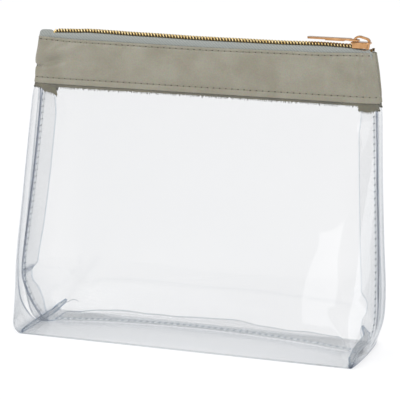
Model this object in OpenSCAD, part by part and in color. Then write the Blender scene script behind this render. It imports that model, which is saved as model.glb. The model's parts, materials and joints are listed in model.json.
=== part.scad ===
// Clear film makeup bag with a satin zip band.
// Millimetres. X runs along the zip, -Y is the front, Z is up, and the bag stands on Z = 0.

/* [Bag] */
// Length of the base
base_w = 170; // [150:1:190]
// Depth of the base
base_d = 52; // [46:1:60]
// Height of the band's top fold
band_top = 144; // [138:1:160]
// Height of the band's bottom fold
band_bottom = 121.2; // [112:0.2:124]
// Distance from the middle to the bulge of the side seam, at the top
top_reach = 86.5; // [85:0.5:90]
// The same at the knee, where the side seam turns in to the base
knee_reach = 94.5; // [90:0.5:98]
// Height of the knee
knee_z = 18; // [14:1:24]

/* [Film and cloth] */
// Thickness of the clear film
film_t = 0.4; // [0.3:0.05:0.5]
// Thickness of the folded satin band
band_t = 0.7; // [0.5:0.1:0.8]
// Thickness of the lining inside the band
lining_t = 0.4; // [0.3:0.1:0.5]
// Width of the side seam allowance
allowance = 8; // [5:0.5:9]
// Length of one stitch with its gap
stitch_pitch = 3; // [2.8:0.1:3.4]

/* [Zip] */
// Height of the middle of the chain
chain_z = 147.2; // [146.8:0.1:147.4]
// Pitch of the coil's teeth
tooth_pitch = 1.5; // [1.4:0.05:1.6]
// Length of the slider's body
slider_l = 9; // [8:0.5:10]
// Length of the puller's flat tab
tab_l = 20.8; // [16:0.2:24]
// Width of the puller's flat tab
tab_w = 4.4; // [4:0.1:5]

/* [Hidden] */

// Colours
clear_film = [0.93, 0.95, 0.97, 0.45];
satin = "#9b9788";
tape_grey = "#a3a6a2";
coil_gold = "#c9a24a";
rose_gold = "#d8a26c";
clear_thread = "#e4e8ea";

// Film
base_t = film_t;
wall_foot = base_t + 0.2;
film_top = band_top - 5;
lean = 1.15;
depth_at_band = 4.5;
depth_at_top = 3.75;
seam_gap = 0.3;
seam_gap_in_band = 1.1;
band_gap = 0.1;
lining_gap = 0.25;
seam_bulge = 4;
corner_round_low = 1.5;
corner_round_high = 14;
corner_round_z = 50;
arc_steps = 4;
film_rows = [wall_foot, 5, 11, knee_z, 30, 52, 80, 108, band_bottom - 2, band_bottom, film_top];
band_rows = [band_bottom, band_bottom + 7, band_bottom + 15, band_top];
lining_rows = [band_bottom - 1, band_bottom + 0.5, band_bottom + 8, band_bottom + 15, band_top - 0.3];

// Seams at the base
flange_l = 6;
flange_t = 0.8;
flange_x = base_w / 2 - 1;
flange_z = base_t + 0.25;
flange_end = base_d / 2 - 3;
flange_lean = 45;
base_end_gap = 0.8;
ribbon_l = 6;
thread_r = 0.15;
band_thread_r = 0.2;
stitch_l = 2.2;
stitch_end = 68;
thread_clearance = 0.05;

// Zip
coil_h = 2;
coil_half = 2.1;
spine_w = 1.1;
tooth_w = 0.62;
tooth_tip = 0.75;
coil_start = -75.6;
coil_end = 76.5;
tape_t = 0.4;
tape_z = chain_z - coil_h / 2 - 0.05;
tape_half_w = 3.65;
tape_shoulder = 3;
tape_reach = 81;
tape_end = 83;
tape_drop = 1.1;
stop_size = [1, 1.2, 1.3];
slider_x = 72.4;
channel_half = 2.45;
cheek_w = 0.7;
lower_plate_half = 2.6;
channel_floor = tape_z - tape_t - 0.1;
channel_roof = chain_z + coil_h / 2 + 0.15;
plate_t = 0.8;
plate_top = channel_roof + plate_t;
bridge_half = 0.9;
bridge_r = 3;
bridge_end_r = 2.2;
bridge_l = 3;
bridge_t = 1;
pivot_x = slider_x + 3;
pivot_z = plate_top + 0.6;
pivot_r = 0.45;
arm_gap = bridge_half + 0.25;
tab_t = 0.9;
tab_end = slider_x;
arm_t = 0.7;

function smooth(t) = let (u = min(1, max(0, t))) u * u * (3 - 2 * u);
function mix(a, b, t) = a + (b - a) * t;

// Half of the bag's depth at a height
function half_depth(z) = z < band_bottom
    ? depth_at_band + (base_d / 2 - depth_at_band) * (1 - pow(z / band_bottom, lean))
    : mix(depth_at_band, depth_at_top, min(1, (z - band_bottom) / (band_top - band_bottom)));

// Distance from the middle to the outermost point of the side at a height
function side_reach(z) = z < knee_z
    ? mix(base_w / 2, knee_reach, sin(90 * z / knee_z))
    : mix(knee_reach, top_reach, (z - knee_z) / (band_bottom - knee_z));

function bulge(z) = min(0.8 + (seam_bulge - 0.8) * smooth(z / 14), half_depth(z) - 0.3);
function corner_round(z) = mix(corner_round_low, corner_round_high, smooth(z / corner_round_z));
function gap_at(z) = z < band_bottom - 1 ? seam_gap : seam_gap_in_band;
function allowance_at(z) = 0.5 + (allowance - 0.5) * smooth((z - 8) / 14);

// Right half of a level section, from the middle of the front, round the side and into the seam
function half_section(z, tail) =
    let (
        reach = side_reach(z),
        b = bulge(z),
        a = corner_round(z),
        d = half_depth(z),
        g = gap_at(z)
    )
    concat(
        [for (i = [0:arc_steps]) let (f = -90 + 90 * i / arc_steps)
            [reach - a + a * cos(f), -b + (d - b) * sin(f)]],
        [for (i = [1:arc_steps]) let (f = 90 * i / arc_steps)
            [reach - b + b * cos(f), -b + (b - g) * sin(f)]],
        tail ? [[reach - b - allowance_at(z), -g]] : []
    );

function full_section(z, tail) =
    let (half = half_section(z, tail), n = len(half))
    concat([for (i = [n - 1:-1:0]) [-half[i][0], half[i][1]]], half);

// The path moved sideways: positive is towards the inside of the bag
function moved(path, by) =
    let (n = len(path))
    [for (i = [0:n - 1]) let (
        d = path[min(n - 1, i + 1)] - path[max(0, i - 1)],
        u = d / norm(d)
    ) path[i] + by * [-u[1], u[0]]];

// One closed ring of a wall's section, between two distances from the film's outer face
function wall_ring(z, outer, inner, tail) =
    let (path = full_section(z, tail), far = moved(path, inner), n = len(path))
    concat(
        [for (p = moved(path, outer)) [p[0], p[1], z]],
        [for (i = [n - 1:-1:0]) [far[i][0], far[i][1], z]]
    );

// A thin wall through rings at several heights
module wall(rows, outer, inner, tail) {
    rings = [for (z = rows) wall_ring(z, outer, inner, tail)];
    n = len(rings[0]);
    m = len(rings);
    half = n / 2;
    sides = [for (j = [0:m - 2], i = [0:n - 1], k = [0, 1]) let (
        a = j * n + i,
        b = j * n + (i + 1) % n,
        c = b + n,
        d = a + n
    ) k == 0 ? [a, c, b] : [a, d, c]];
    caps = [for (end = [0, 1], i = [0:half - 2], k = [0, 1]) let (
        base = end * (m - 1) * n,
        a = base + i,
        b = base + i + 1,
        c = base + n - 2 - i,
        d = base + n - 1 - i,
        tri = k == 0 ? [a, b, c] : [a, c, d]
    ) end == 0 ? tri : [tri[0], tri[2], tri[1]]];
    polyhedron(points = [for (r = rings, p = r) p], faces = concat(sides, caps), convexity = 8);
}

module film() color(clear_film) wall(film_rows, 0, film_t, true);
module band() color(satin) wall(band_rows, -band_gap - band_t, -band_gap, false);
module lining() color(satin) wall(
    lining_rows, film_t + lining_gap, film_t + lining_gap + lining_t, false
);

// A row of stitches along X
module stitch_row(from, to, y, z, r) {
    count = floor((to - from) / stitch_pitch);
    for (i = [0:count - 1])
        translate([from + i * stitch_pitch, y, z]) rotate([0, 90, 0]) cylinder(r = r, h = stitch_l, $fn = 16);
}

module band_stitches(z) color(satin)
    stitch_row(-stitch_end, stitch_end, -half_depth(z) - band_t - band_gap - 0.35, z, band_thread_r);

// Side seam stitches lie between the two allowances
module side_stitches(side) color(clear_thread)
    for (z = [26:stitch_pitch:band_bottom - 8])
        let (x = side_reach(z) - bulge(z) - 1.5)
            translate([side * x, 0, z]) cylinder(r = thread_r, h = stitch_l, $fn = 16);

// Half of the base, with its own half of the seam that stands up along the middle
module base_half() color(clear_film)
    rotate([90, 0, 90]) linear_extrude(height = base_w - 2 * base_end_gap, center = true)
        polygon([
            [-base_d / 2, 0], [-seam_gap, 0], [-seam_gap, base_t + ribbon_l],
            [-seam_gap - film_t, base_t + ribbon_l], [-seam_gap - film_t, base_t], [-base_d / 2, base_t]
        ]);

module bottom_seam_stitches() color(clear_thread)
    stitch_row(-stitch_end, stitch_end, 0, base_t + 1.5, thread_r);

// Places its children on a corner seam, leaning in over the base
module at_corner(side)
    translate([side * flange_x, 0, flange_z]) rotate([0, -side * flange_lean, 0]) children();

module corner_flange(side) color(clear_film)
    at_corner(side)
        for (half = [-1, 1])
            translate([-flange_t / 2, half > 0 ? 1 : -flange_end, 0.5])
                cube([flange_t, flange_end - 1, flange_l]);

module corner_stitches(side) color(clear_thread)
    at_corner(side)
        for (half = [-1, 1], i = [0:5])
            translate([-side * (flange_t / 2 + thread_r + thread_clearance), half * (3 + i * stitch_pitch), 3])
                rotate([-90 * half, 0, 0]) cylinder(r = thread_r, h = stitch_l, $fn = 16);

// Section of one tape: down inside the band, up to the chain and flat under the coil
module tape_section(inner, drop)
    let (top = tape_z - drop, bend = tape_z - 0.6 - drop, low = film_top + 0.4)
        polygon([
            [-inner, top], [-tape_shoulder, top], [-tape_half_w, bend], [-tape_half_w, low],
            [-tape_half_w + tape_t, low], [-tape_half_w + tape_t, bend - tape_t / 2],
            [-tape_shoulder + tape_t / 2, top - tape_t], [-inner, top - tape_t]
        ]);

module tape_run(from, to, inner, drop)
    translate([from, 0, 0]) rotate([90, 0, 90])
        linear_extrude(height = to - from) tape_section(inner, drop);

// The tapes part inside the slider and dip past its end
module tape() color(tape_grey) {
    split_x = slider_x + 5;
    dip_x = slider_x + slider_l + 0.2;
    tape_run(-tape_reach, split_x, 0.1, 0);
    tape_run(split_x, dip_x, 1.3, 0);
    tape_run(dip_x, tape_end, 1.3, tape_drop);
}

// One coil: a spine with a tooth on every pitch, cut as one comb
module coil(shift) color(coil_gold)
    translate([0, 0, chain_z - coil_h / 2]) linear_extrude(height = coil_h)
        polygon(concat(
            [[coil_end, -coil_half], [coil_start, -coil_half], [coil_start, -coil_half + spine_w]],
            [for (x = [coil_start + 0.4 + shift:tooth_pitch:coil_end - 1.2], k = [0:3])
                [x + (k < 2 ? 0 : tooth_w), k == 0 || k == 3 ? -coil_half + spine_w : tooth_tip]],
            [[coil_end, -coil_half + spine_w]]
        ));

module top_stop() color(coil_gold)
    translate([slider_x + slider_l + 0.35, -1.4 - stop_size[1], tape_z - tape_drop + 0.05]) cube(stop_size);

module bottom_stop() color(coil_gold)
    translate([coil_start - 2.4, -1.9, tape_z + 0.1]) cube([2.2, 3.8, 2.2]);

// Outline of the bridge that the puller hangs on
module bridge_outline(inset) {
    r1 = bridge_r - inset;
    r2 = bridge_end_r - inset;
    tilt = asin((bridge_r - bridge_end_r) / bridge_l);
    circle(r = r1, $fn = 48);
    translate([bridge_l, 0]) circle(r = r2, $fn = 48);
    polygon([[0, -r1], [0, 0], [r1 * sin(tilt), r1 * cos(tilt)],
        [bridge_l + r2 * sin(tilt), r2 * cos(tilt)], [bridge_l, 0], [bridge_l, -r2]]);
}

// One plate of the slider: cut back at the mouth where the two rows part
module slider_plate(half)
    linear_extrude(height = plate_t)
        polygon([[0, -half + 0.5], [0.8, -half], [slider_l - 1.2, -half], [slider_l, -half + 1.2],
            [slider_l, half - 1.2], [slider_l - 1.2, half], [0.8, half], [0, half - 0.5]]);

module slider_body() color(rose_gold) {
    half = channel_half + cheek_w;
    translate([slider_x, 0, 0]) {
        translate([0, 0, channel_floor - plate_t]) slider_plate(lower_plate_half);
        translate([0, 0, channel_roof]) slider_plate(half);
        for (side = [-1, 1])
            translate([0.8, side > 0 ? channel_half : -half, tape_z + 0.3])
                cube([slider_l - 2, cheek_w, channel_roof - tape_z]);
        translate([slider_l - 1.6, 0, channel_floor - 0.1])
            cylinder(r = 0.9, h = channel_roof - channel_floor + 0.2, $fn = 32);
        translate([bridge_r + 0.6, bridge_half, plate_top - 0.05]) rotate([90, 0, 0])
            linear_extrude(height = 2 * bridge_half)
                difference() {
                    bridge_outline(0);
                    bridge_outline(bridge_t);
                    translate([-10, -10]) square([20, 10]);
                }
    }
}

module puller() color(rose_gold) {
    arm_y = arm_gap + 0.35;
    translate([pivot_x, -arm_y, pivot_z]) rotate([-90, 0, 0]) cylinder(r = pivot_r, h = 2 * arm_y, $fn = 32);
    for (side = [-1, 1])
        translate([tab_end - 1.2, side > 0 ? arm_gap : -arm_gap - arm_t, pivot_z - 0.3])
            cube([pivot_x - tab_end + 1.2, arm_t, 0.8]);
    translate([tab_end - 0.6, 0, pivot_z - 0.1]) linear_extrude(height = tab_t) {
        translate([-tab_l + tab_w / 2, -tab_w / 2]) square([tab_l - tab_w / 2, tab_w]);
        translate([-tab_l + tab_w / 2, 0]) circle(r = tab_w / 2, $fn = 48);
    }
    translate([tab_end - 12.5, -1.4, pivot_z - 0.55]) cube([9, 2.8, 0.5]);
}

module mirrored() mirror([0, 1, 0]) children();

base_half();  // front_base_film
mirrored() base_half();  // back_base_film
corner_flange(-1);  // left_corner_flange
corner_flange(1);  // right_corner_flange
bottom_seam_stitches();  // bottom_seam_thread
corner_stitches(-1);  // left_corner_thread
corner_stitches(1);  // right_corner_thread
side_stitches(-1);  // left_side_thread
side_stitches(1);  // right_side_thread
bottom_stop();
film();  // front_film
band();  // front_band
lining();  // front_lining
tape();  // front_tape
coil(0);  // front_coil
top_stop();  // front_top_stop
band_stitches(band_top - 1.5);  // front_upper_thread
band_stitches(band_bottom + 2.6);  // front_lower_thread
mirrored() film();  // back_film
mirrored() band();  // back_band
mirrored() lining();  // back_lining
mirrored() tape();  // back_tape
mirrored() coil(tooth_pitch / 2);  // back_coil
mirrored() top_stop();  // back_top_stop
mirrored() band_stitches(band_top - 1.5);  // back_upper_thread
mirrored() band_stitches(band_bottom + 2.6);  // back_lower_thread
slider_body();
puller();
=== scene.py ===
import json
import math
import random

import bpy
import bmesh
from mathutils import Matrix, Vector, noise
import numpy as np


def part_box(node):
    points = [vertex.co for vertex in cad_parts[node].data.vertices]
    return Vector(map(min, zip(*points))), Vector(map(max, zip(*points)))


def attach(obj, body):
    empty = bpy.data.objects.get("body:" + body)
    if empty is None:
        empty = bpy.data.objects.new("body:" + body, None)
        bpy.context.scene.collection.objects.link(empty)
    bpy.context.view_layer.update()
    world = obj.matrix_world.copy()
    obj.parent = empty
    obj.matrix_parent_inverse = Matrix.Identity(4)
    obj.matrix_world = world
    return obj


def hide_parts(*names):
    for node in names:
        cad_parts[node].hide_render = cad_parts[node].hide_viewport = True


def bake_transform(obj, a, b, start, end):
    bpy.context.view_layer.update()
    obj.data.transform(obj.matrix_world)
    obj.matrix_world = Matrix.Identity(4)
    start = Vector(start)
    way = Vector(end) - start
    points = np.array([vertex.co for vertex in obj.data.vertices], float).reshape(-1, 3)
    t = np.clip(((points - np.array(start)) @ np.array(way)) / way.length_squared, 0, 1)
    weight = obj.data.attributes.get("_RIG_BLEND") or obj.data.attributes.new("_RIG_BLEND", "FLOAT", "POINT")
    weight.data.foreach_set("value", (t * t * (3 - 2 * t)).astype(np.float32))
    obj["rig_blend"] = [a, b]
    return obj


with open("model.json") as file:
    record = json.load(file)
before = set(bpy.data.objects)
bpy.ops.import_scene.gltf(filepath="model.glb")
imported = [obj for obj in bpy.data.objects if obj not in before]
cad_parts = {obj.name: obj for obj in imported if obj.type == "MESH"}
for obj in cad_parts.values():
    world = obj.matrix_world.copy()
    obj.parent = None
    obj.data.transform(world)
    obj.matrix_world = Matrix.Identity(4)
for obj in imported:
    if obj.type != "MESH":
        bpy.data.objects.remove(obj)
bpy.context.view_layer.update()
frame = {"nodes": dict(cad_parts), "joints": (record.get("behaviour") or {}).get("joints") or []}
scene = bpy.context.scene
scene.cycles.transparent_max_bounces = 64  # rays cross many layers of film
scene.view_settings.view_transform = "Standard"
print("stage: frame loaded")

mm = 0.001


def smooth(t):
    t = min(1.0, max(0.0, t))
    return t * t * (3 - 2 * t)


def mix(a, b, t):
    return a + (b - a) * t


def spread(value, centre, width):
    return math.exp(-(((value - centre) / width) ** 2))


def between(pairs, at):  # a smooth curve through (place, value) pairs
    if at <= pairs[0][0]:
        return pairs[0][1]
    for (a, p), (b, q) in zip(pairs, pairs[1:]):
        if at <= b:
            return mix(p, q, smooth((at - a) / (b - a)))
    return pairs[-1][1]


def flowing(pairs, at):  # a curve through (place, value) pairs that keeps its slope at each of them
    at = min(pairs[-1][0], max(pairs[0][0], at))
    last = len(pairs) - 1
    i = next(k for k in range(last) if at <= pairs[k + 1][0])
    (a, p), (b, q) = pairs[i], pairs[i + 1]
    slopes = []
    for k in (i, i + 1):
        (x0, y0), (x1, y1) = pairs[max(0, k - 1)], pairs[min(last, k + 1)]
        slopes.append((y1 - y0) / (x1 - x0) * (b - a))
    t = (at - a) / (b - a)
    return (p * (1 + 2 * t) * (1 - t) ** 2 + q * t * t * (3 - 2 * t)
            + slopes[0] * t * (1 - t) ** 2 - slopes[1] * t * t * (1 - t))


# Camera: a long lens, a little above and to the right of the bag's front
view = {
    "azimuth": 18.3,
    "elevation": 11.07,
    "roll": 1.06,
    "distance": 921.9,
    "aim": (-0.24, 0.0, 68.67),
    "lens": 172.0,
}


def makeCamera():
    azimuth, elevation, roll = (math.radians(view[k]) for k in ("azimuth", "elevation", "roll"))
    back = Vector((
        math.sin(azimuth) * math.cos(elevation),
        -math.cos(azimuth) * math.cos(elevation),
        math.sin(elevation),
    ))
    right = Vector((0, 0, 1)).cross(back).normalized()
    up = back.cross(right)
    tiltedRight = right * math.cos(roll) + up * math.sin(roll)
    tiltedUp = up * math.cos(roll) - right * math.sin(roll)
    turn = Matrix((tiltedRight, tiltedUp, back)).transposed().to_4x4()
    place = (Vector(view["aim"]) + back * view["distance"]) * mm
    camera = bpy.data.objects.new("camera", bpy.data.cameras.new("camera"))
    camera.data.lens = view["lens"]
    camera.data.sensor_width = 36
    camera.data.clip_start = 0.05
    camera.matrix_world = Matrix.Translation(place) @ turn
    scene.collection.objects.link(camera)
    scene.camera = camera


makeCamera()


# Materials
def colour(text):  # an sRGB hex value as linear light
    parts = [int(text[i : i + 2], 16) / 255 for i in (0, 2, 4)]
    return tuple(c / 12.92 if c <= 0.04045 else ((c + 0.055) / 1.055) ** 2.4 for c in parts) + (1.0,)


def addNode(material, kind, settings=None, links=None):
    tree = material.node_tree
    node = tree.nodes.new(kind)
    for key, value in (settings or {}).items():
        if key == "stops":  # the colours of a ramp, by place
            elements = node.color_ramp.elements
            while len(elements) < len(value):
                elements.new(0.5)
            for element, (place, shade) in zip(elements, value):
                element.position = place
                element.color = shade
        elif isinstance(key, int) or key in node.inputs:
            node.inputs[key].default_value = value
        else:
            setattr(node, key, value)
    for key, source in (links or {}).items():
        tree.links.new(source, node.inputs[key])
    return node


def newMaterial(name):
    material = bpy.data.materials.new(name)
    material.use_nodes = True
    material.node_tree.nodes.clear()
    return material


clearFilm = {
    "straightOn": "fdfdfd",
    "slanted": "f2f3f4",
    # steep and edge-on greys: partly absorption along the longer path, partly painted shade for the darker
    # surroundings refracted at grazing angles
    "steepAbsorbedAndShaded": "ccd3da",
    "edgeOnAbsorbedAndShaded": "56647a",
    "cutEdge": "8ba6c0",
    # painted shade along the film's tight folds
    "tightFoldShade": "73839a",
    "absorbed": (0.79, 0.81, 0.835, 1.0),
    "density": 150.0,  # per metre
    "mirror": 0.04,  # of an index of 1.5
    "roughness": 0.03,
}


def clearFilmMaterial():  # PVC film, calendered: clear, glossy, a cool grey where it's seen along its length: partly absorption, partly painted shade for the darker surroundings refracted at grazing angles
    material = newMaterial("calenderedClearFilm")
    facing = addNode(material, "ShaderNodeLayerWeight", {"Blend": 0.5}).outputs["Facing"]
    # the grey rising towards grazing is partly absorption and partly painted shade
    shades = [
        (0.0, colour(clearFilm["straightOn"])),
        (0.82, colour(clearFilm["slanted"])),
        (0.92, colour(clearFilm["steepAbsorbedAndShaded"])),
        (0.99, colour(clearFilm["edgeOnAbsorbedAndShaded"])),
    ]
    absorbedAndShadedTint = addNode(material, "ShaderNodeValToRGB", {"stops": shades}, {"Fac": facing}).outputs["Color"]
    edge = addNode(material, "ShaderNodeAttribute", {"attribute_name": "cutEdge"})
    # painted shade along the film's folds, read from a point attribute
    fold = addNode(material, "ShaderNodeAttribute", {"attribute_name": "foldTone"})
    foldShadeTint = addNode(material, "ShaderNodeMix", {"data_type": "RGBA", 7: colour(clearFilm["tightFoldShade"])},
                       {0: fold.outputs["Fac"], 6: absorbedAndShadedTint})
    edgeTint = addNode(material, "ShaderNodeMix", {"data_type": "RGBA", 7: colour(clearFilm["cutEdge"])},
                       {0: edge.outputs["Fac"], 6: foldShadeTint.outputs[2]})
    through = addNode(material, "ShaderNodeBsdfTransparent", {}, {"Color": edgeTint.outputs[2]})
    gloss = addNode(material, "ShaderNodeBsdfAnisotropic",
                    {"Color": (1, 1, 1, 1), "Roughness": clearFilm["roughness"]})
    # mirror share by angle: the straight-on share, rising with the fifth power towards grazing
    rise = addNode(material, "ShaderNodeMath", {"operation": "POWER", 1: 5.0}, {0: facing})
    share = addNode(material, "ShaderNodeMath",
                    {"operation": "MULTIPLY_ADD", 1: 1 - clearFilm["mirror"], 2: clearFilm["mirror"]},
                    {0: rise.outputs[0]})
    surface = addNode(material, "ShaderNodeMixShader", {},
                      {0: share.outputs[0], 1: through.outputs[0], 2: gloss.outputs[0]})
    inside = addNode(material, "ShaderNodeVolumeAbsorption",
                     {"Color": clearFilm["absorbed"], "Density": clearFilm["density"]})
    addNode(material, "ShaderNodeOutputMaterial", {},
            {"Surface": surface.outputs[0], "Volume": inside.outputs[0]})
    return material


satin = {
    "body": "979281",
    "light": "a39f8f",
    # deep and raw: darker satin, painted shade for the lining under the fold
    "underFoldShadeDeep": "7c7764",
    "underFoldShade": "68665a",
    "thread": 0.6,  # mm between drawn threads, coarser than the real 0.1 mm so that they show
    "roughness": 0.42,
}


def satinMaterial(name, shadedUnderFold):  # polyester satin: a close weave with a soft broad shine; its darker copy paints shade on the lining under the fold
    material = newMaterial(name)
    place = addNode(material, "ShaderNodeTexCoord").outputs["Object"]
    cloudy = addNode(material, "ShaderNodeTexNoise", {"Scale": 90.0, "Detail": 3.0}, {"Vector": place})
    shades = [
        (0.35, colour(satin["underFoldShade"] if shadedUnderFold else satin["body"])),
        (0.65, colour(satin["underFoldShadeDeep"] if shadedUnderFold else satin["light"])),
    ]
    base = addNode(material, "ShaderNodeValToRGB", {"stops": shades}, {"Fac": cloudy.outputs["Fac"]})
    grain = addNode(material, "ShaderNodeTexNoise", {"Scale": 1 / (satin["thread"] * mm), "Detail": 2.0},
                    {"Vector": place})
    weave = addNode(material, "ShaderNodeTexWave",
                    {"Scale": 1 / (satin["thread"] * mm * 6.3), "Distortion": 1.5, "bands_direction": "Z"},
                    {"Vector": place})
    both = addNode(material, "ShaderNodeMath", {"operation": "ADD"},
                   {0: grain.outputs["Fac"], 1: weave.outputs["Fac"]})
    bump = addNode(material, "ShaderNodeBump", {"Strength": 0.22, "Distance": 0.00006},
                   {"Height": both.outputs[0]})
    speckle = addNode(material, "ShaderNodeMix",
                      {"data_type": "RGBA", "blend_type": "MULTIPLY", 0: 0.4},
                      {6: base.outputs["Color"], 7: grain.outputs["Color"]})
    cloth = addNode(material, "ShaderNodeBsdfPrincipled",
                    {"Roughness": satin["roughness"], "Sheen Weight": 0.25, "Sheen Roughness": 0.35,
                     "Specular IOR Level": 0.5},
                    {"Base Color": speckle.outputs[2], "Normal": bump.outputs[0]})
    addNode(material, "ShaderNodeOutputMaterial", {}, {"Surface": cloth.outputs[0]})
    return material


tapeCloth = {"rib": "989c98", "gap": "8c908d", "ribWidth": 0.5, "roughness": 0.75}


def tapeMaterial():  # woven polyester tape: ribs that lean one way and then the other
    material = newMaterial("herringboneTape")
    place = addNode(material, "ShaderNodeTexCoord").outputs["Object"]
    turned = addNode(material, "ShaderNodeMapping", {"Rotation": (0, math.radians(52), 0)}, {"Vector": place})
    ribs = addNode(material, "ShaderNodeTexWave",
                   {"Scale": 1 / (tapeCloth["ribWidth"] * mm * 6.3), "Distortion": 0.4,
                    "bands_direction": "X"},
                   {"Vector": turned.outputs[0]})
    shades = [(0.2, colour(tapeCloth["gap"])), (0.7, colour(tapeCloth["rib"]))]
    base = addNode(material, "ShaderNodeValToRGB", {"stops": shades}, {"Fac": ribs.outputs["Fac"]})
    bump = addNode(material, "ShaderNodeBump", {"Strength": 0.5, "Distance": 0.0001},
                   {"Height": ribs.outputs["Fac"]})
    cloth = addNode(material, "ShaderNodeBsdfPrincipled",
                    {"Roughness": tapeCloth["roughness"], "Sheen Weight": 0.2},
                    {"Base Color": base.outputs["Color"], "Normal": bump.outputs[0]})
    addNode(material, "ShaderNodeOutputMaterial", {}, {"Surface": cloth.outputs[0]})
    return material


def metalMaterial(name, shade, deepShade, roughness, scale):  # plated: bright, with faint handling marks
    material = newMaterial(name)
    place = addNode(material, "ShaderNodeTexCoord").outputs["Object"]
    marks = addNode(material, "ShaderNodeTexNoise", {"Scale": scale, "Detail": 4.0}, {"Vector": place})
    shades = [(0.3, colour(deepShade)), (0.7, colour(shade))]
    base = addNode(material, "ShaderNodeValToRGB", {"stops": shades}, {"Fac": marks.outputs["Fac"]})
    dullness = addNode(material, "ShaderNodeMapRange", {3: roughness * 0.7, 4: roughness * 1.4},
                       {0: marks.outputs["Fac"]})
    metal = addNode(material, "ShaderNodeBsdfPrincipled", {"Metallic": 1.0},
                    {"Base Color": base.outputs["Color"], "Roughness": dullness.outputs[0]})
    addNode(material, "ShaderNodeOutputMaterial", {}, {"Surface": metal.outputs[0]})
    return material


def threadMaterial(name, shade, deepShade, roughness):  # spun sewing thread: matt, with a twist; also used for the dark marks that paint shade at the needle holes and on the core cord
    material = newMaterial(name)
    place = addNode(material, "ShaderNodeTexCoord").outputs["Object"]
    twist = addNode(material, "ShaderNodeTexNoise", {"Scale": 1800.0, "Detail": 1.0}, {"Vector": place})
    shades = [(0.3, colour(deepShade)), (0.7, colour(shade))]
    base = addNode(material, "ShaderNodeValToRGB", {"stops": shades}, {"Fac": twist.outputs["Fac"]})
    thread = addNode(material, "ShaderNodeBsdfPrincipled", {"Roughness": roughness, "Sheen Weight": 0.2},
                     {"Base Color": base.outputs["Color"]})
    addNode(material, "ShaderNodeOutputMaterial", {}, {"Surface": thread.outputs[0]})
    return material


filmFinish = clearFilmMaterial()
satinFinish = satinMaterial("wovenSatin", False)
# a darker copy of the satin: painted shade on the lining under the fold
shadedRawSatinFinish = satinMaterial("rawSatinEdgeShaded", True)
tapeFinish = tapeMaterial()
coilFinish = metalMaterial("metallisedNylonCoil", "f8e6b4", "e2c07a", 0.22, 500.0)
# a real core cord, coloured dark brown as painted shade between the coil's loops
coreCordShadeFinish = threadMaterial("coilCoreCordShaded", "4d3a17", "33250d", 0.8)
platedFinish = metalMaterial("polishedGoldPlate", "d2a274", "b08358", 0.16, 300.0)
stopFinish = metalMaterial("darkenedBrassStop", "8a6a3c", "4e3a1f", 0.35, 400.0)
bandThreadFinish = threadMaterial("matchedBandThread", "8f8a78", "7b7664", 0.55)
# dark capsules at the needle holes: painted shade in the holes
needleHoleShadeFinish = threadMaterial("needleHoleShade", "4a4534", "352f22", 0.9)
filmThreadFinish = threadMaterial("clearFilmThread", "eef1f4", "cdd3da", 0.4)
filmHoleShadeFinish = threadMaterial("filmNeedleHoleShade", "69778a", "566274", 0.6)
paleHoleShadeFinish = threadMaterial("paleNeedleHoleShade", "a9b4c1", "929eac", 0.6)
print("stage: materials made")


# Pieces
def finishPiece(name, bm, materials):
    for vert in bm.verts:
        vert.co *= mm
    mesh = bpy.data.meshes.new(name)
    bm.to_mesh(mesh)
    bm.free()
    for material in materials:
        mesh.materials.append(material)
    mesh.polygons.foreach_set("use_smooth", [True] * len(mesh.polygons))
    piece = bpy.data.objects.new(name, mesh)
    scene.collection.objects.link(piece)
    return piece


def cornersOf(node):  # a CAD node's box, in millimetres
    low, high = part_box(node)
    return low / mm, high / mm


filmHigh = cornersOf("front_film")[1]
baseLow, baseHigh = cornersOf("front_base_film")
bandLow, bandHigh = cornersOf("front_band")
coilLow, coilHigh = cornersOf("front_coil")
sliderHigh = cornersOf("slider_body")[1]

bag = {
    "baseHalf": baseHigh.x + 0.8,
    "depthHalf": -baseLow.y,
    "filmTop": filmHigh.z,
    "bandBottom": bandLow.z,
    "bandTop": bandHigh.z,
    # the side seam's line, from the middle of the bag
    "valley": {
        -1: [(0, 80.5), (9, 87.6), (18, 92.1), (22, 93.5), (25, 93.7), (33, 93.2), (51, 90.7), (80, 87.0),
             (116, 83.4), (124, 83.4), (144, 82.0), (152, 82.0)],
        1: [(0, 82.5), (5, 86.3), (14, 89.0), (27, 89.4), (54, 88.6), (80, 87.2), (116, 85.5), (124, 85.0),
            (144, 82.4), (152, 82.4)],
    },
    "reach": {
        -1: [(0, 85.0), (3, 88.6), (9, 91.8), (16, 93.5), (27, 94.2), (40, 93.6), (54, 92.3), (90, 88.9),
             (121, 85.8), (132, 84.9), (144, 83.6), (152, 83.6)],
        1: [(0, 84.8), (3, 86.0), (9, 88.8), (18, 91.2), (32, 91.6), (54, 90.2), (85, 88.5), (121, 87.0),
            (132, 85.6), (144, 83.8), (152, 83.8)],
    },
    "bulge": 4.0,
    "bandBulge": 1.9,
    "lean": 1.15,
    "depthAtBand": 4.5,
    "depthAtTop": 3.75,
    "filmThickness": 0.36,
    "foldRadius": 0.6,
    "arch": 4.4,
    "turns": (1.5, 26.0, 14.0),  # the corner's length at the base, on the wall and in the band
    # width of the side seam's allowance at a height
    "allowance": [(0, 1.5), (5, 4.8), (13, 7.4), (17, 7.4), (22, 5.4), (26, 5.4), (31, 8.4), (54, 9.0),
                  (104, 8.8), (117, 7.4), (139, 6.0)],
}
across = {"face": 0.62, "corner": 0.80, "seam": 0.91}  # where the parts of a level section end, from 0 to 1


def halfDepth(z):
    if z < bag["bandBottom"]:
        fall = 1 - (max(z, 0) / bag["bandBottom"]) ** bag["lean"]
        depth = mix(bag["depthAtBand"], bag["depthHalf"], fall)
    else:
        rise = min(1, (z - bag["bandBottom"]) / (bag["bandTop"] - bag["bandBottom"]))
        depth = mix(bag["depthAtBand"], bag["depthAtTop"], rise)
    return depth - foldInset(z)


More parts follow.
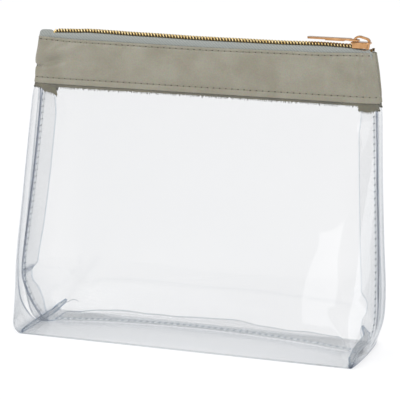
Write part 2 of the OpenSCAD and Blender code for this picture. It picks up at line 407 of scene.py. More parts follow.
def foldInset(z):  # the film rolls under at the bottom fold
    radius = bag["foldRadius"]
    drop = max(0.0, radius - z)
    return radius - math.sqrt(max(0.0, radius * radius - drop * drop)) if drop > 0 else 0.0


def seamBulge(z):  # how far each film stands out beside the side seam
    return mix(mix(0.8, bag["bulge"], smooth(z / 14)), bag["bandBulge"], smooth((z - 113) / 11))


def sideReach(z, side):  # half the width at a height
    return flowing(bag["reach"][side], z)


def sectionPoint(share, z):  # a point of the front wall's level section, share from -1 to 1
    side = 1 if share >= 0 else -1
    s = abs(share)
    reach, depth = sideReach(z, side), halfDepth(z)
    bulge = min(seamBulge(z), depth - 0.3)
    pull = max(0.2, reach - flowing(bag["valley"][side], z))
    low, middle, high = bag["turns"]
    turn = mix(mix(low, middle, smooth(z / 30)), high, smooth((z - 106) / 14))
    gap = mix(0.35, 1.1, smooth((z - 110) / 9))
    if s <= across["face"]:
        return Vector((side * (reach - turn) * s / across["face"], -depth))
    if s <= across["corner"]:
        f = math.pi / 2 * ((s - across["face"]) / (across["corner"] - across["face"]) - 1)
        return Vector((side * (reach - turn + turn * math.cos(f)), -bulge + (depth - bulge) * math.sin(f)))
    if s <= across["seam"]:
        f = math.pi / 2 * (s - across["corner"]) / (across["seam"] - across["corner"])
        return Vector((side * (reach - pull + pull * math.cos(f)), -bulge + (bulge - gap) * math.sin(f)))
    tail = (s - across["seam"]) / (1 - across["seam"]) * between(bag["allowance"], z)
    return Vector((side * (reach - pull - tail), -gap))


def crowded(a):  # a place from 0 to 1 as a share, with more columns beside the corner and the seam
    share = 2 * a - 1
    s = abs(share)
    ends = (across["face"], across["corner"], across["seam"], 1.0)
    for low, high in zip(ends, ends[1:]):
        if low < s <= high:
            t = (s - low) / (high - low)
            s = mix(low, high, t - 0.12 * math.sin(2 * math.pi * t))
            break
    return math.copysign(s, share)


def wallPoint(share, z, out=0.0):  # the same in space, moved out from the film's outer face
    here = sectionPoint(share, z)
    step = 0.004
    s = abs(share)
    low, high = (0.0, across["seam"]) if s <= across["seam"] else (across["seam"] + 0.0001, 1.0)
    side = 1 if share >= 0 else -1
    first = sectionPoint(side * max(low, s - step), z)
    last = sectionPoint(side * min(high, s + step), z)
    along = (last - first) * side
    along.normalize()
    return Vector((here.x + along.y * out, here.y - along.x * out, z))


def openShare(share, x, z):  # how far a point follows its wall as the mouth opens: a lens shape
    low = mix(-sideReach(z, -1), sliderTravelEnd, smooth(z / 110))
    high = sideReach(z, 1)
    t = min(1.0, max(0.0, (x - low) / (high - low)))
    seamFade = smooth((across["seam"] - abs(share)) / (across["seam"] - across["face"]))
    return 4 * t * (1 - t) * seamFade


travel = next(j for j in frame["joints"] if j["name"] == "slider_travel")["range_m"][1] / mm
throat = 2.0  # how far inside the slider's leading end the coils part, in mm
sliderTravelEnd = sliderHigh.x - throat - travel


def followWall(piece, wall, weights):
    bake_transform(piece, "base", wall, (0, 0, 0), (0, 0, bag["bandTop"] * mm))
    piece.data.attributes["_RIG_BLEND"].data.foreach_set("value", weights)


def gridPiece(columns, rows, placeOf):  # a sheet whose points come from two shares, each from 0 to 1
    bm = bmesh.new()
    bmesh.ops.create_grid(bm, x_segments=columns, y_segments=rows, size=0.5)
    follow = bm.verts.layers.float.new("openShare")
    # painted shade along the folds, kept per point
    tone = bm.verts.layers.float.new("foldTone")
    for vert in bm.verts:
        vert.co, vert[follow], *more = placeOf(vert.co.x + 0.5, vert.co.y + 0.5)
        vert[tone] = more[0] if more else 0.0
    return bm


def thicken(bm, thickness):  # gives a sheet its thickness, and marks the faces of its cut edge
    bmesh.ops.recalc_face_normals(bm, faces=bm.faces)
    outside = sum(f.normal.y * f.calc_center_median().y for f in bm.faces)
    if outside < 0:
        bmesh.ops.reverse_faces(bm, faces=bm.faces)
    first = set(bm.verts)
    bmesh.ops.solidify(bm, geom=bm.faces[:], thickness=thickness)
    cut = bm.loops.layers.float_color.new("cutEdge")
    for face in bm.faces:
        own = sum(v in first for v in face.verts)
        rim = 0 < own < len(face.verts)
        for loop in face.loops:
            loop[cut] = (1, 1, 1, 1) if rim else (0, 0, 0, 1)
    bmesh.ops.recalc_face_normals(bm, faces=bm.faces)


def joinOnto(bm, other):  # adds one mesh to another
    spare = bpy.data.meshes.new("spare")
    other.to_mesh(spare)
    other.free()
    bm.from_mesh(spare)
    bpy.data.meshes.remove(spare)


def mirrorToBack(bm):
    bmesh.ops.scale(bm, vec=(1, -1, 1), verts=bm.verts)
    bmesh.ops.reverse_faces(bm, faces=bm.faces)


def capsuleSpot(start, end, radius, weight, finish=0):  # where a capsule lies, and what it follows
    turn = (end - start).to_track_quat("Z", "Y").to_matrix().to_4x4()
    size = Matrix.Diagonal((radius, radius, (end - start).length / 2, 1))
    return Matrix.Translation((start + end) / 2) @ turn @ size, weight, finish


def unitMesh(name, make):
    bm = bmesh.new()
    make(bm)
    mesh = bpy.data.meshes.new(name)
    bm.to_mesh(mesh)
    bm.free()
    return mesh


capsule = unitMesh("capsule", lambda bm: bmesh.ops.create_uvsphere(bm, u_segments=6, v_segments=4, radius=1))
fibre = unitMesh("fibre", lambda bm: bmesh.ops.create_cone(
    bm, cap_ends=True, segments=3, radius1=1, radius2=0.4, depth=2))


def plant(bm, unit, spots):  # copies of one small mesh, each with its own place, open share and finish
    vertsBefore, facesBefore = len(bm.verts), len(bm.faces)
    for matrix, weight, finish in spots:
        copy = unit.copy()
        copy.transform(matrix)
        bm.from_mesh(copy)
        bpy.data.meshes.remove(copy)
    bm.verts.ensure_lookup_table()
    bm.faces.ensure_lookup_table()
    follow = bm.verts.layers.float["openShare"]
    vertCount, faceCount = len(unit.vertices), len(unit.polygons)
    for count, (matrix, weight, finish) in enumerate(spots):
        start = vertsBefore + count * vertCount
        for vert in bm.verts[start : start + vertCount]:
            vert[follow] = weight
        start = facesBefore + count * faceCount
        for face in bm.faces[start : start + faceCount]:
            face.material_index = finish


def takeWeights(piece):
    layer = piece.data.attributes["openShare"]
    weights = [0.0] * len(piece.data.vertices)
    layer.data.foreach_get("value", weights)
    piece.data.attributes.remove(layer)
    return weights


wallNames = {-1: "front", 1: "back"}

# Film: each is one sheet, from the side seams round the wall and under the base to the middle seam
film = {
    "columns": 200, "wallRows": 72, "baseRows": 26, "ribbon": 6.5, "ripple": 0.5, "rippleSize": 46.0,
    "dent": 0.45, "dentPlace": (73.0, 42.0), "dentSize": (7.5, 12.0), "dentTilt": 28.0,
    "crumple": 0.5, "crumpleSize": 4.5,
    # the base: the share of its rows that lies flat, and the ribbon's wave, ends and slope
    "flatShare": 0.8, "wave": (0.10, 0.14), "waveSize": (9.0, 12.0), "ribbonEnd": 77.0, "ribbonFade": 7.0,
    "ribbonLean": 0.62, "ribbonRise": 0.74, "ribbonGap": {-1: -0.2, 1: 0.25},
}


def filmRipple(share, x, z, side):
    middle = smooth((0.75 - abs(share)) / 0.3) * smooth(z / 25) * smooth((bag["bandBottom"] - z) / 20)
    at = Vector((share * 90 / film["rippleSize"], 6 + side * 2.3, z / film["rippleSize"]))
    ripple = film["ripple"] * middle * noise.noise(at)
    if side < 0:  # a shallow dent low on the right of the front
        tilt = math.radians(film["dentTilt"])
        dx, dz = x - film["dentPlace"][0], z - film["dentPlace"][1]
        u = (dx * math.cos(tilt) - dz * math.sin(tilt)) / film["dentSize"][0]
        v = (dx * math.sin(tilt) + dz * math.cos(tilt)) / film["dentSize"][1]
        ripple -= film["dent"] * math.exp(-u * u - v * v)
    return ripple + crumple(x, z, 0.0, side)


def crumple(x, z, y, side):  # the creased film beside the boxed corners
    near = smooth((abs(x) - 68) / 12) * smooth((13 - z) / 10) * (1.0 if x > 0 else 0.45)
    size = film["crumpleSize"]
    return film["crumple"] * near * noise.noise(Vector((x / size, y / size + side * 5.0, z / size)))


def baseHeight(x, y):
    along = max(0.0, 1 - (x / bag["baseHalf"]) ** 2)
    inwards = 1 - min(1.0, abs(y) / bag["depthHalf"]) ** 1.6
    return bag["arch"] * along * inwards


def foldTone(share, z):  # painted shade along the seam's three folds, and along the fold where the right side meets the base, darker on the right
    s = abs(share)
    bend, stitched = (1.0, 0.7) if share > 0 else (0.9, 0.7)
    tone = bend * spread(s, across["corner"], 0.003) + stitched * spread(s, across["seam"], 0.004)
    tone *= smooth((z - 5) / 12) if share > 0 else smooth(z / 5)
    tone += (1.0 if share > 0 else 0.2) * spread(z, 0.5, 1.3) * smooth((s - across["face"] + 0.02) / 0.03)
    if share < 0 and s > across["seam"]:  # painted shade where the left allowance creases as the seam turns
        tone += 0.3 * spread(z, 24 + 4 * (s - across["seam"]) / (1 - across["seam"]), 1.3)
    return min(1.0, tone)


def makeFilm(side):
    top = bag["filmTop"]

    def wallPlace(a, b):
        share = crowded(a)
        z = top * (0.35 * b + 0.65 * b * b)
        z = max(z, 0.5 * smooth((abs(share) - across["corner"]) / 0.08))
        x = sectionPoint(share, z).x
        place = wallPoint(share, z, filmRipple(share, x, z, side) * smooth(z / 3))
        return place, openShare(share, place.x, z), foldTone(share, z)

    def basePlace(a, b):
        share = (2 * a - 1) * across["face"]
        edge = wallPoint(share, 0.0)
        flat = film["flatShare"]
        if b < flat:
            y = mix(edge.y, -0.2, b / flat)
            lift = smooth(b / 0.1)
            wrinkle = abs(crumple(edge.x, 0, y, side)) * lift * smooth((flat - b) / (1 - flat))
            return Vector((edge.x, y, baseHeight(edge.x, y) * lift + wrinkle)), 0.0
        (long, short), (longSize, shortSize) = film["wave"], film["waveSize"]
        wave = 1 + long * math.sin(edge.x / longSize)
        wave += short * noise.noise(Vector((edge.x / shortSize, 2.0, 0)))
        fade = smooth((film["ribbonEnd"] - abs(edge.x)) / film["ribbonFade"])
        rise = (b - flat) / (1 - flat) * film["ribbon"] * wave * fade
        y = -side * (rise * film["ribbonLean"] + film["ribbonGap"][side])  # both layers lean to the back
        return Vector((edge.x, y, baseHeight(edge.x, 0) + rise * film["ribbonRise"])), 0.0

    wall = gridPiece(film["columns"], film["wallRows"], wallPlace)
    columns = round(film["columns"] * across["face"])
    joinOnto(wall, gridPiece(columns, film["baseRows"], basePlace))
    bmesh.ops.remove_doubles(wall, verts=wall.verts, dist=0.02)
    thicken(wall, bag["filmThickness"])
    if side > 0:
        mirrorToBack(wall)
    name = wallNames[side]
    piece = finishPiece(name + "Film", wall, [filmFinish])
    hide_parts(name + "_film", name + "_base_film")
    followWall(piece, name + "_wall", takeWeights(piece))


for side in (-1, 1):
    makeFilm(side)
print("stage: film made")


# Satin band: folded over at the top, rolled under at the bottom, puckered along both rows of stitches
band = {
    "columns": 300, "faceRows": 56, "rollRows": 8, "thickness": 0.3, "over": 0.5,
    "puff": 0.95, "wrinkle": 0.55, "pucker": 0.08, "dent": 0.12, "pitch": 3.0, "lowest": -0.05,
    "upperRow": 1.3, "lowerRow": 3.0,  # mm below the top edge, and above the fold
    # the folds: radius, the share of their rows that goes round it, and how steeply the rest runs on inside
    "roll": 0.55, "turnShare": 0.6, "tuckUp": 3.0, "tuckDown": 3.5, "topSqueeze": 0.8,
    "topShift": [(-86, 0.1), (-60, -0.6), (0, -0.9), (50, -0.4), (86, 0.7)],
}
# creases: two ends as (x, height over the fold), half width and depth in mm; the front has its own
creases = {
    -1: [
        (-84, 12, -58, 20, 2.6, 0.9), (-84, 8, -62, 15.5, 2.0, -1.1), (-80, 8.2, -69, 11.5, 1.0, -0.8),
        (-79, 16, -70, 21, 1.6, 0.5), (-38, 20, -41, 13, 0.9, -0.5), (-41, 13, -44, 6, 0.7, -0.25),
        (-22, 21, -20, 17, 0.7, -0.25), (52, 20, 54, 14, 0.8, -0.2), (79.5, 21.5, 79, 13, 2.0, 1.9),
        (79, 13, 83, 4, 1.9, 1.7), (70, 12.5, 77, 9, 1.9, -1.4), (58, 17, 70, 12.5, 2.2, -0.6),
    ],
    1: [
        (-78, 6, -62, 15, 1.4, -0.5), (70, 17, 82, 7, 1.5, 0.5), (12, 20, 15, 13, 0.9, -0.3),
        (-30, 19, -33, 12, 1.0, -0.3),
    ],
}


def creaseRelief(x, h, side):
    total = 0.0
    for x0, h0, x1, h1, width, depth in creases[side]:
        along = Vector((x1 - x0, h1 - h0))
        t = min(1.0, max(0.0, (Vector((x, h)) - Vector((x0, h0))).dot(along) / along.length_squared))
        away = (Vector((x, h)) - Vector((x0, h0)) - along * t).length
        fade = 0.35 + 0.65 * math.sin(math.pi * min(0.95, t + 0.15))
        total += depth * spread(away, 0, width) * fade
    return total


def bandHeight(x, h):  # the height over the floor of a point h above the fold
    full = bag["bandTop"] - bag["bandBottom"]
    return bag["bandBottom"] + h + between(band["topShift"], x) * smooth(h / full)


def bandRelief(x, h, side):
    full = bag["bandTop"] - bag["bandBottom"]
    upper, lower = full - band["upperRow"], band["lowerRow"]
    relief = 0.0
    if lower < h < upper:
        relief = band["puff"] * max(0.0, math.sin(math.pi * (h - lower) / (upper - lower))) ** 0.7
    relief += 0.25 * smooth((lower - h) / 1.5)
    wave = math.cos(2 * math.pi * x / band["pitch"])
    for row in (upper, lower):
        relief += band["pucker"] * wave * spread(h, row, 1.5) - band["dent"] * spread(h, row, 0.55)
    relief += band["wrinkle"] * noise.noise(Vector((x / 17, side * 3.1, h / 7))) * smooth(h / 6)
    nearRows = spread(h, upper, 4) + spread(h, lower, 3)
    relief += 0.12 * noise.noise(Vector((x / 3.2, side * 5.3, h / 5))) * nearRows
    relief += creaseRelief(x, h, side) * smooth(h / 2) * smooth((full - h) / 1.5)
    return max(relief, band["lowest"] + 0.2 * (relief - band["lowest"]))


def bandPoint(share, h, side, out=0.0):
    x = sectionPoint(share, bag["bandBottom"] + h).x
    z = bandHeight(x, h)
    end = smooth((across["corner"] + 0.05 - abs(share)) / 0.16)
    out -= 1.0 * spread(h, 8.5, 0.7) * smooth((-share - 0.66) / 0.1) if side < 0 else 0.0
    return wallPoint(share, z, mix(0.15, band["over"] + bandRelief(x, h, side), end) + out)


def makeBand(side):
    full = bag["bandTop"] - bag["bandBottom"]
    roll, turned = band["roll"], band["turnShare"]
    rolled = band["rollRows"] / (band["faceRows"] + 2 * band["rollRows"])

    def place(a, b):
        share = (2 * a - 1) * across["seam"]
        if b < rolled:  # under the bottom fold and up behind it
            t = 1 - b / rolled
            angle = math.pi * min(1, t / turned)
            point = bandPoint(share, roll, side, -roll * (1 - math.cos(angle)))
            if t < turned:
                point.z = bandPoint(share, roll * (1 - math.sin(angle)), side).z
            else:
                point.z = bandHeight(point.x, roll) + band["tuckUp"] * (t - turned)
        elif b > 1 - rolled:  # over the top edge and down inside
            t = (b - 1 + rolled) / rolled
            angle = math.pi * min(1, t / turned)
            point = bandPoint(share, full - roll, side, -roll * (1 - math.cos(angle)) * band["topSqueeze"])
            point.z += roll * math.sin(angle) if t < turned else -band["tuckDown"] * (t - turned)
        else:
            point = bandPoint(share, mix(roll, full - roll, (b - rolled) / (1 - 2 * rolled)), side)
        return point, openShare(share, point.x, point.z)

    bm = gridPiece(band["columns"], band["faceRows"] + 2 * band["rollRows"], place)
    thicken(bm, band["thickness"])
    if side > 0:
        mirrorToBack(bm)
    name = wallNames[side]
    piece = finishPiece(name + "Band", bm, [satinFinish])
    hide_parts(name + "_band")
    followWall(piece, name + "_wall", takeWeights(piece))


# Lining: the raw inner edge of the satin, a little longer than the fold, with frayed flaps at the seams, in a
# darker copy of the satin as painted shade under the fold
lining = {
    "columns": 420, "rows": 26, "thickness": 0.25, "inside": -0.62, "hang": 1.15, "rag": 0.32,
    "flaps": {
        -1: [(-84, 0.4), (-81, 1.0), (-79.5, 2.6), (-76.5, 3.0), (-74.6, 4.3), (-73.6, 3.6), (-73.2, 0.2),
             (0, 0), (77.4, 0.1), (77.8, 2.2), (81.5, 2.8), (84.8, 2.4), (86, 1.4)],
        1: [(-84, 0.4), (-82, 2.4), (-77.0, 2.9), (-76.4, 0.2), (0, 0), (76.6, 0.1), (77.0, 2.2), (82, 3.0),
            (86, 0.3)],
    },
    "fibres": 420, "fibreLength": (0.35, 1.1), "fibreRadius": 0.055,
}


def liningBottom(x, side):
    ragged = noise.noise(Vector((x / 1.1, side * 9.0, 0)))
    ragged += 0.6 * noise.noise(Vector((x / 0.35, side * 4.0, 3)))
    return bag["bandBottom"] - lining["hang"] - between(lining["flaps"][side], x) + lining["rag"] * ragged


def makeLining(side, dice):
    top = bag["bandTop"] - 1.2

    def place(a, b):
        share = (2 * a - 1) * across["seam"]
        x = sectionPoint(share, bag["bandBottom"]).x
        low = liningBottom(x, side)
        z = mix(low, top, b * b * 0.8 + b * 0.2)
        droop = smooth((bag["bandBottom"] - z) / 4)
        out = lining["inside"] + 0.35 * noise.noise(Vector((x / 3, side * 2.0, z / 3))) * droop
        out += 0.5 * smooth((bag["bandBottom"] + 1 - z) / 1.5)
        point = wallPoint(share, z, out)
        return point, openShare(share, point.x, point.z)

    name = wallNames[side]
    bm = gridPiece(lining["columns"], lining["rows"], place)
    spots = []
    for count in range(lining["fibres"]):
        share = mix(-0.9, 0.9, (count + dice.random()) / lining["fibres"])
        x = sectionPoint(share, bag["bandBottom"]).x
        root = wallPoint(share, liningBottom(x, side) + 0.1, lining["inside"] + 0.5)
        length = dice.uniform(*lining["fibreLength"])
        tip = root + Vector((dice.uniform(-0.8, 0.8), dice.uniform(-0.3, 0.1), -1)).normalized() * length
        spots.append(capsuleSpot(root, tip, lining["fibreRadius"], openShare(share, x, root.z)))
    plant(bm, fibre, spots)
    if side > 0:
        mirrorToBack(bm)
    piece = finishPiece(name + "Lining", bm, [shadedRawSatinFinish])
    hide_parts(name + "_lining")
    solid = piece.modifiers.new("thickness", "SOLIDIFY")
    solid.thickness = lining["thickness"] * mm
    solid.offset = 0
    followWall(piece, name + "_wall", takeWeights(piece))


# Zip: the chain rises and falls a little along its length
chain = {
    # nearly level where the slider stands at the far end of its travel
    "rise": [(-82, -0.6), (-77, -0.5), (-74.5, -0.25), (-65.5, 0.05), (-58, 0.45), (-30, 0.1), (0, -0.25),
             (35, -0.2), (60, 0.25), (70, 0.05), (80, -0.5)],
    "sway": 0.25,
}


def chainRise(x):
    return between(chain["rise"], x)


def chainSway(x):  # sideways, the same for both halves
    return chain["sway"] * math.sin(x / 23.0) * smooth((70 - abs(x)) / 30)


tape = {
    "columns": 220, "rows": 26, "thickness": 0.38, "ends": (-83.6, 83.0),
    "standLength": 2.5,  # over which the plain left end rises beside the chain
    "endDip": 0.9, "dipLength": 1.4,  # past the slider, under the top stops
    "corner": 2.2, "cornerShare": 0.2, "cornerReach": 5.0,  # rounding of the cut ends
    # the tape's section from under the band, over its shoulder, to the chain: y and z in mm
    "section": [(0.0, -3.35, 137.5), (0.35, -3.45, 143.3), (0.6, -3.2, 145.2), (0.8, -2.5, 146.15),
                (1.0, -0.25, 146.4)],
    "endSection": [(0.0, -3.0, 137.5), (0.35, -2.6, 143.3), (0.6, -1.6, 145.4), (0.8, -0.9, 146.6),
                   (1.0, -0.4, 147.7)],
}


def sectionAt(section, b):
    y = between([(t, y) for t, y, z in section], b)
    z = between([(t, z) for t, y, z in section], b)
    return y, z


def makeTape(side):
    low, high = tape["ends"]

    def place(a, b):
        x = mix(low, high, a)
        y, z = sectionAt(tape["section"], b)
        endY, endZ = sectionAt(tape["endSection"], b)
        stand = smooth((coilLow.x - 0.3 - x) / tape["standLength"])
        tilt = smooth((x - sliderHigh.x - 0.1) / tape["dipLength"])
        y, z = mix(y, endY, stand), mix(z, endZ, stand)
        z -= tilt * tape["endDip"] * smooth((b - 0.35) / 0.4)
        short = (b - 1) / tape["cornerShare"] + 1
        if short > 0:
            pull = tape["corner"] * (1 - math.sqrt(max(0.0, 1 - short * short)))
            reach = tape["cornerReach"]
            x += pull * smooth((low + reach - x) / reach) - pull * smooth((x - high + reach) / reach)
        z += chainRise(x) * smooth((b - 0.3) / 0.4)
        point = Vector((x, y + chainSway(x) * smooth((b - 0.35) / 0.3), z))
        return point, openShare(0.0, x, z)

    bm = gridPiece(tape["columns"], tape["rows"], place)
    thicken(bm, tape["thickness"])
    if side > 0:
        for vert in bm.verts:  # both halves sway the same way
            vert.co.y -= 2 * chainSway(vert.co.x) * smooth((vert.co.z - 143.5) / 2)
        mirrorToBack(bm)
    name = wallNames[side]
    piece = finishPiece(name + "Tape", bm, [tapeFinish])
    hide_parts(name + "_tape")
    followWall(piece, name + "_wall", takeWeights(piece))


coil = {
    "pitch": 1.5, "wire": 0.33, "sides": 6, "steps": 12, "height": 2.15, "reach": (-2.35, 0.28),
    "floor": 146.1, "cordRadius": 0.62, "cordPlace": (-1.2, 0.95), "cordCuts": 90,
}


def oneTurn(bm):
    wire = bmesh.ops.create_circle(bm, cap_ends=False, segments=coil["sides"], radius=coil["wire"] * 0.9,
                                   matrix=Matrix.Translation((0, 0, 1)))
    edges = list({e for v in wire["verts"] for e in v.link_edges})
    bmesh.ops.spin(bm, geom=wire["verts"] + edges, cent=(0, 0, 0), axis=(1, 0, 0), angle=2 * math.pi,
                   steps=coil["steps"], dvec=(coil["pitch"] / coil["steps"], 0, 0), use_duplicate=False)


def makeCoil(side):  # one long flattened spring, half a pitch off its partner, with a cord down its middle, coloured dark to paint shade in the gaps between the loops
    name = wallNames[side]
    start, end = coilLow.x + coil["wire"], coilHigh.x - coil["wire"]
    shift = 0.0 if side < 0 else coil["pitch"] / 2
    turns = int((end - start - shift) / coil["pitch"])
    unit = unitMesh("oneTurn", oneTurn)
    bm = bmesh.new()
    follow = bm.verts.layers.float.new("openShare")
    plant(bm, unit, [(Matrix.Translation((i * coil["pitch"], 0, 0)), 0.0, 0) for i in range(turns)])
    bmesh.ops.remove_doubles(bm, verts=bm.verts, dist=0.001)
    bmesh.ops.holes_fill(bm, edges=[e for e in bm.edges if e.is_boundary])
    depth = (coil["reach"][1] - coil["reach"][0]) / 2
    outer = 1 + coil["wire"] * 0.9
    for vert in bm.verts:
        x, y, z = vert.co
        x += start + shift
        # squarer than a circle, as the loops are pressed flat against the tape
        y = (coil["reach"][0] + coil["reach"][1]) / 2 + y / outer * depth
        z = coil["floor"] + coil["height"] / 2 + z / outer * coil["height"] / 2
        vert.co = Vector((x, y, z))
    cordY, cordZ = coil["cordPlace"]
    middle = Matrix.Translation(((start + end) / 2, cordY, coil["floor"] + cordZ))
    cord = bmesh.ops.create_cone(bm, cap_ends=True, segments=8, radius1=coil["cordRadius"],
                                 radius2=coil["cordRadius"], depth=end - start,
                                 matrix=middle @ Matrix.Rotation(math.pi / 2, 4, "Y"))
    cordVerts = set(cord["verts"])
    for face in bm.faces:
        if face.verts[0] in cordVerts:
            face.material_index = 1
    cut = [e for e in bm.edges if e.verts[0] in cordVerts and abs(e.verts[0].co.x - e.verts[1].co.x) > 1]
    bmesh.ops.subdivide_edges(bm, edges=cut, cuts=coil["cordCuts"])
    bmesh.ops.recalc_face_normals(bm, faces=bm.faces)
    if side > 0:
        mirrorToBack(bm)
    for vert in bm.verts:
        x = vert.co.x
        vert.co.y += chainSway(x)
        vert.co.z += chainRise(x)
        vert[follow] = openShare(0.0, x, vert.co.z)
    piece = finishPiece(name + "Coil", bm, [coilFinish, coreCordShadeFinish])
    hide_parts(name + "_coil")
    followWall(piece, name + "_wall", takeWeights(piece))


for side in (-1, 1):
    makeBand(side)
    makeLining(side, random.Random(11 + side))
    makeTape(side)
    makeCoil(side)
print("stage: band, lining, tapes and coils made")


# Threads
stitch = {"bandRadius": 0.15, "filmRadius": 0.19, "holeRadius": 0.22, "holeShare": 0.26, "filmPitch": 3.2}


def evenly(pointAt, first, last, pitch):  # values whose points lie a pitch apart
    values, here, value = [first], pointAt(first), first
    step = (last - first) / 3000
    while value < last:
        value += step
        if (pointAt(value) - here).length >= pitch:
            values.append(value)
            here = pointAt(value)
    return values


def stitchSpots(pointAt, weightAt, first, last, pitch, radius, holeOut=None):
    values = evenly(pointAt, first, last, pitch)
    hold = holeOut or pointAt
    spots = []
    for a, b in zip(values, values[1:]):
        middle = mix(a, b, 1 - stitch["holeShare"])
        weight = weightAt((a + b) / 2)
        spots.append(capsuleSpot(pointAt(a), pointAt(middle), radius, weight, 0))
        # a dark capsule over the needle hole: painted shade
        needle = mix(a, b, 0.98 - stitch["holeShare"])
        spots.append(capsuleSpot(hold(needle), hold(b), stitch["holeRadius"], weight, 1))
    return spots


def threadMesh(spots):
    bm = bmesh.new()
    bm.verts.layers.float.new("openShare")
    plant(bm, capsule, spots)
    return bm


def makeBandThread(side, name, h):
    bm = threadMesh(stitchSpots(
        lambda s: bandPoint(s, h, side, 0.12),
        lambda s: openShare(s, bandPoint(s, h, side).x, bag["bandBottom"] + h),
        -0.86, 0.86, band["pitch"], stitch["bandRadius"], lambda s: bandPoint(s, h, side, 0.05)))
    if side > 0:
        mirrorToBack(bm)
    piece = finishPiece(name, bm, [bandThreadFinish, needleHoleShadeFinish])
    wall = wallNames[side]
    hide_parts(f"{wall}_{'upper' if 'Upper' in name else 'lower'}_thread")
    followWall(piece, wall + "_wall", takeWeights(piece))


def rideBase(piece):
    takeWeights(piece)
    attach(piece, "base")


def makeSideThread(side, name):  # through both layers of the side seam's allowance
    def line(front):
        def pointAt(z):
            x = min(flowing(bag["valley"][side], z), sideReach(z, side) - 0.2) - 1.5
            return Vector((side * x, front * (mix(0.35, 1.1, smooth((z - 110) / 9)) + 0.5), z))
        return pointAt

    spots = []
    for front in (-1, 1):
        spots += stitchSpots(line(front), lambda z: 0.0, 3.5, bag["bandBottom"] - 3, stitch["filmPitch"],
                             stitch["filmRadius"])
    bm = threadMesh(spots)
    piece = finishPiece(name, bm, [filmThreadFinish, filmHoleShadeFinish])
    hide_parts(("left" if side < 0 else "right") + "_side_thread")
    rideBase(piece)


def makeBottomThread():
    spots = []
    for out in (0.25, 1.75):
        spots += stitchSpots(lambda x: Vector((x, out, baseHeight(x, 0) + 1.3)), lambda x: 0.0, -78, 78,
                             stitch["filmPitch"], stitch["filmRadius"])
    bm = threadMesh(spots)
    piece = finishPiece("bottomSeamThread", bm, [filmThreadFinish, paleHoleShadeFinish])
    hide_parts("bottom_seam_thread")
    rideBase(piece)


# Corner flanges: the boxed corners' allowances, two layers that lean in and stand up at the back
flange = {
    "rows": 14, "columns": 70, "thickness": 0.4, "half": 24.6, "gap": 0.55,
    "width": {-1: [(-25, 1.6), (-15, 2.4), (6, 2.8), (14, 2.8), (25, 2.6)],
              1: [(-25, 1.2), (-18, 3.6), (-5, 5.4), (14, 6.0), (25, 5.2)]},
    # degrees up from the base
    "lean": {-1: [(-25, 76), (0, 84), (14, 90), (25, 84)], 1: [(-25, 62), (0, 50), (25, 56)]},
    "tabLift": 3.6, "tabTurn": 2.4, "tabStart": 14.0, "tabLength": 10.0,  # the raised end at the back
    "inset": 2.3, "stand": 0.35, "wave": 0.5, "waveSize": 5.0,
}


def flangePoint(y, t, side, layer):
    width = between(flange["width"][side], y)
    lean = math.radians(between(flange["lean"][side], y))
    wave = flange["wave"] * noise.noise(Vector((y / flange["waveSize"], side * 3.0, t * 1.5))) * t
    tab = smooth((y - flange["tabStart"]) / flange["tabLength"])
    lift = flange["stand"] + layer * flange["gap"] * math.cos(lean) + flange["tabLift"] * tab
    inward = width * t * math.cos(lean) + wave * math.sin(lean) - layer * flange["gap"] * math.sin(lean)
    inward += flange["tabTurn"] * tab
    return Vector((
        side * (bag["baseHalf"] - flange["inset"] - inward - 1.2 * smooth((y - 17) / 8) * t),
        y - 0.8 * t * smooth((y - 15) / 10),
        lift + width * t * math.sin(lean) + wave * math.cos(lean) + baseHeight(bag["baseHalf"] - 4, y) * 0.5,
    ))


def makeFlange(side):
    half = flange["half"]
    layers = []
    for layer in (0, 1):
        sheet = gridPiece(flange["columns"], flange["rows"],
                          lambda a, b: (flangePoint(mix(-half, half, a), b, side, layer), 0.0))
        thicken(sheet, flange["thickness"])
        layers.append(sheet)
    bm, second = layers
    joinOnto(bm, second)
    name = "left" if side < 0 else "right"
    piece = finishPiece(name + "CornerFlange", bm, [filmFinish])
    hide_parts(name + "_corner_flange")
    rideBase(piece)
    spots = stitchSpots(lambda y: flangePoint(y, 0.42, side, 1.7), lambda y: 0.0, -23, 24,
                        stitch["filmPitch"] * 0.9, stitch["filmRadius"])
    if side < 0:  # a loose end of thread past the back of the left flange
        start = flangePoint(23, 0.3, side, 1.7)
        tail = []
        for i in range(10):
            curl = 1.5 * math.sin(i * 0.2) - 0.5 * math.sin(i * 0.8)
            tail.append(start + Vector((0.95 * i, 0.1 * i, curl)))
        # the tail takes the same dark finish as the needle holes
        for a, b in zip(tail, tail[1:]):
            spots.append(capsuleSpot(a - (b - a) * 0.25, b + (b - a) * 0.25, 0.12, 0.0, 1))
    bm = threadMesh(spots)
    piece = finishPiece(name + "CornerThread", bm, [filmThreadFinish, filmHoleShadeFinish])
    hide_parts(name + "_corner_thread")
    rideBase(piece)


for side in (-1, 1):
    name = wallNames[side]
    full = bag["bandTop"] - bag["bandBottom"]
    makeBandThread(side, name + "UpperThread", full - band["upperRow"])
    makeBandThread(side, name + "LowerThread", band["lowerRow"])
makeSideThread(-1, "leftSideThread")
makeSideThread(1, "rightSideThread")
makeBottomThread()
makeFlange(-1)
makeFlange(1)
print("stage: threads and flanges made")


# Metal fittings: the exact parts, with their edges broken as die casting and plating leave them
fitting = {"edgeAngle": 28, "sliderEdge": 0.16, "pullerEdge": 0.14, "stopEdge": 0.12, "segments": 3}


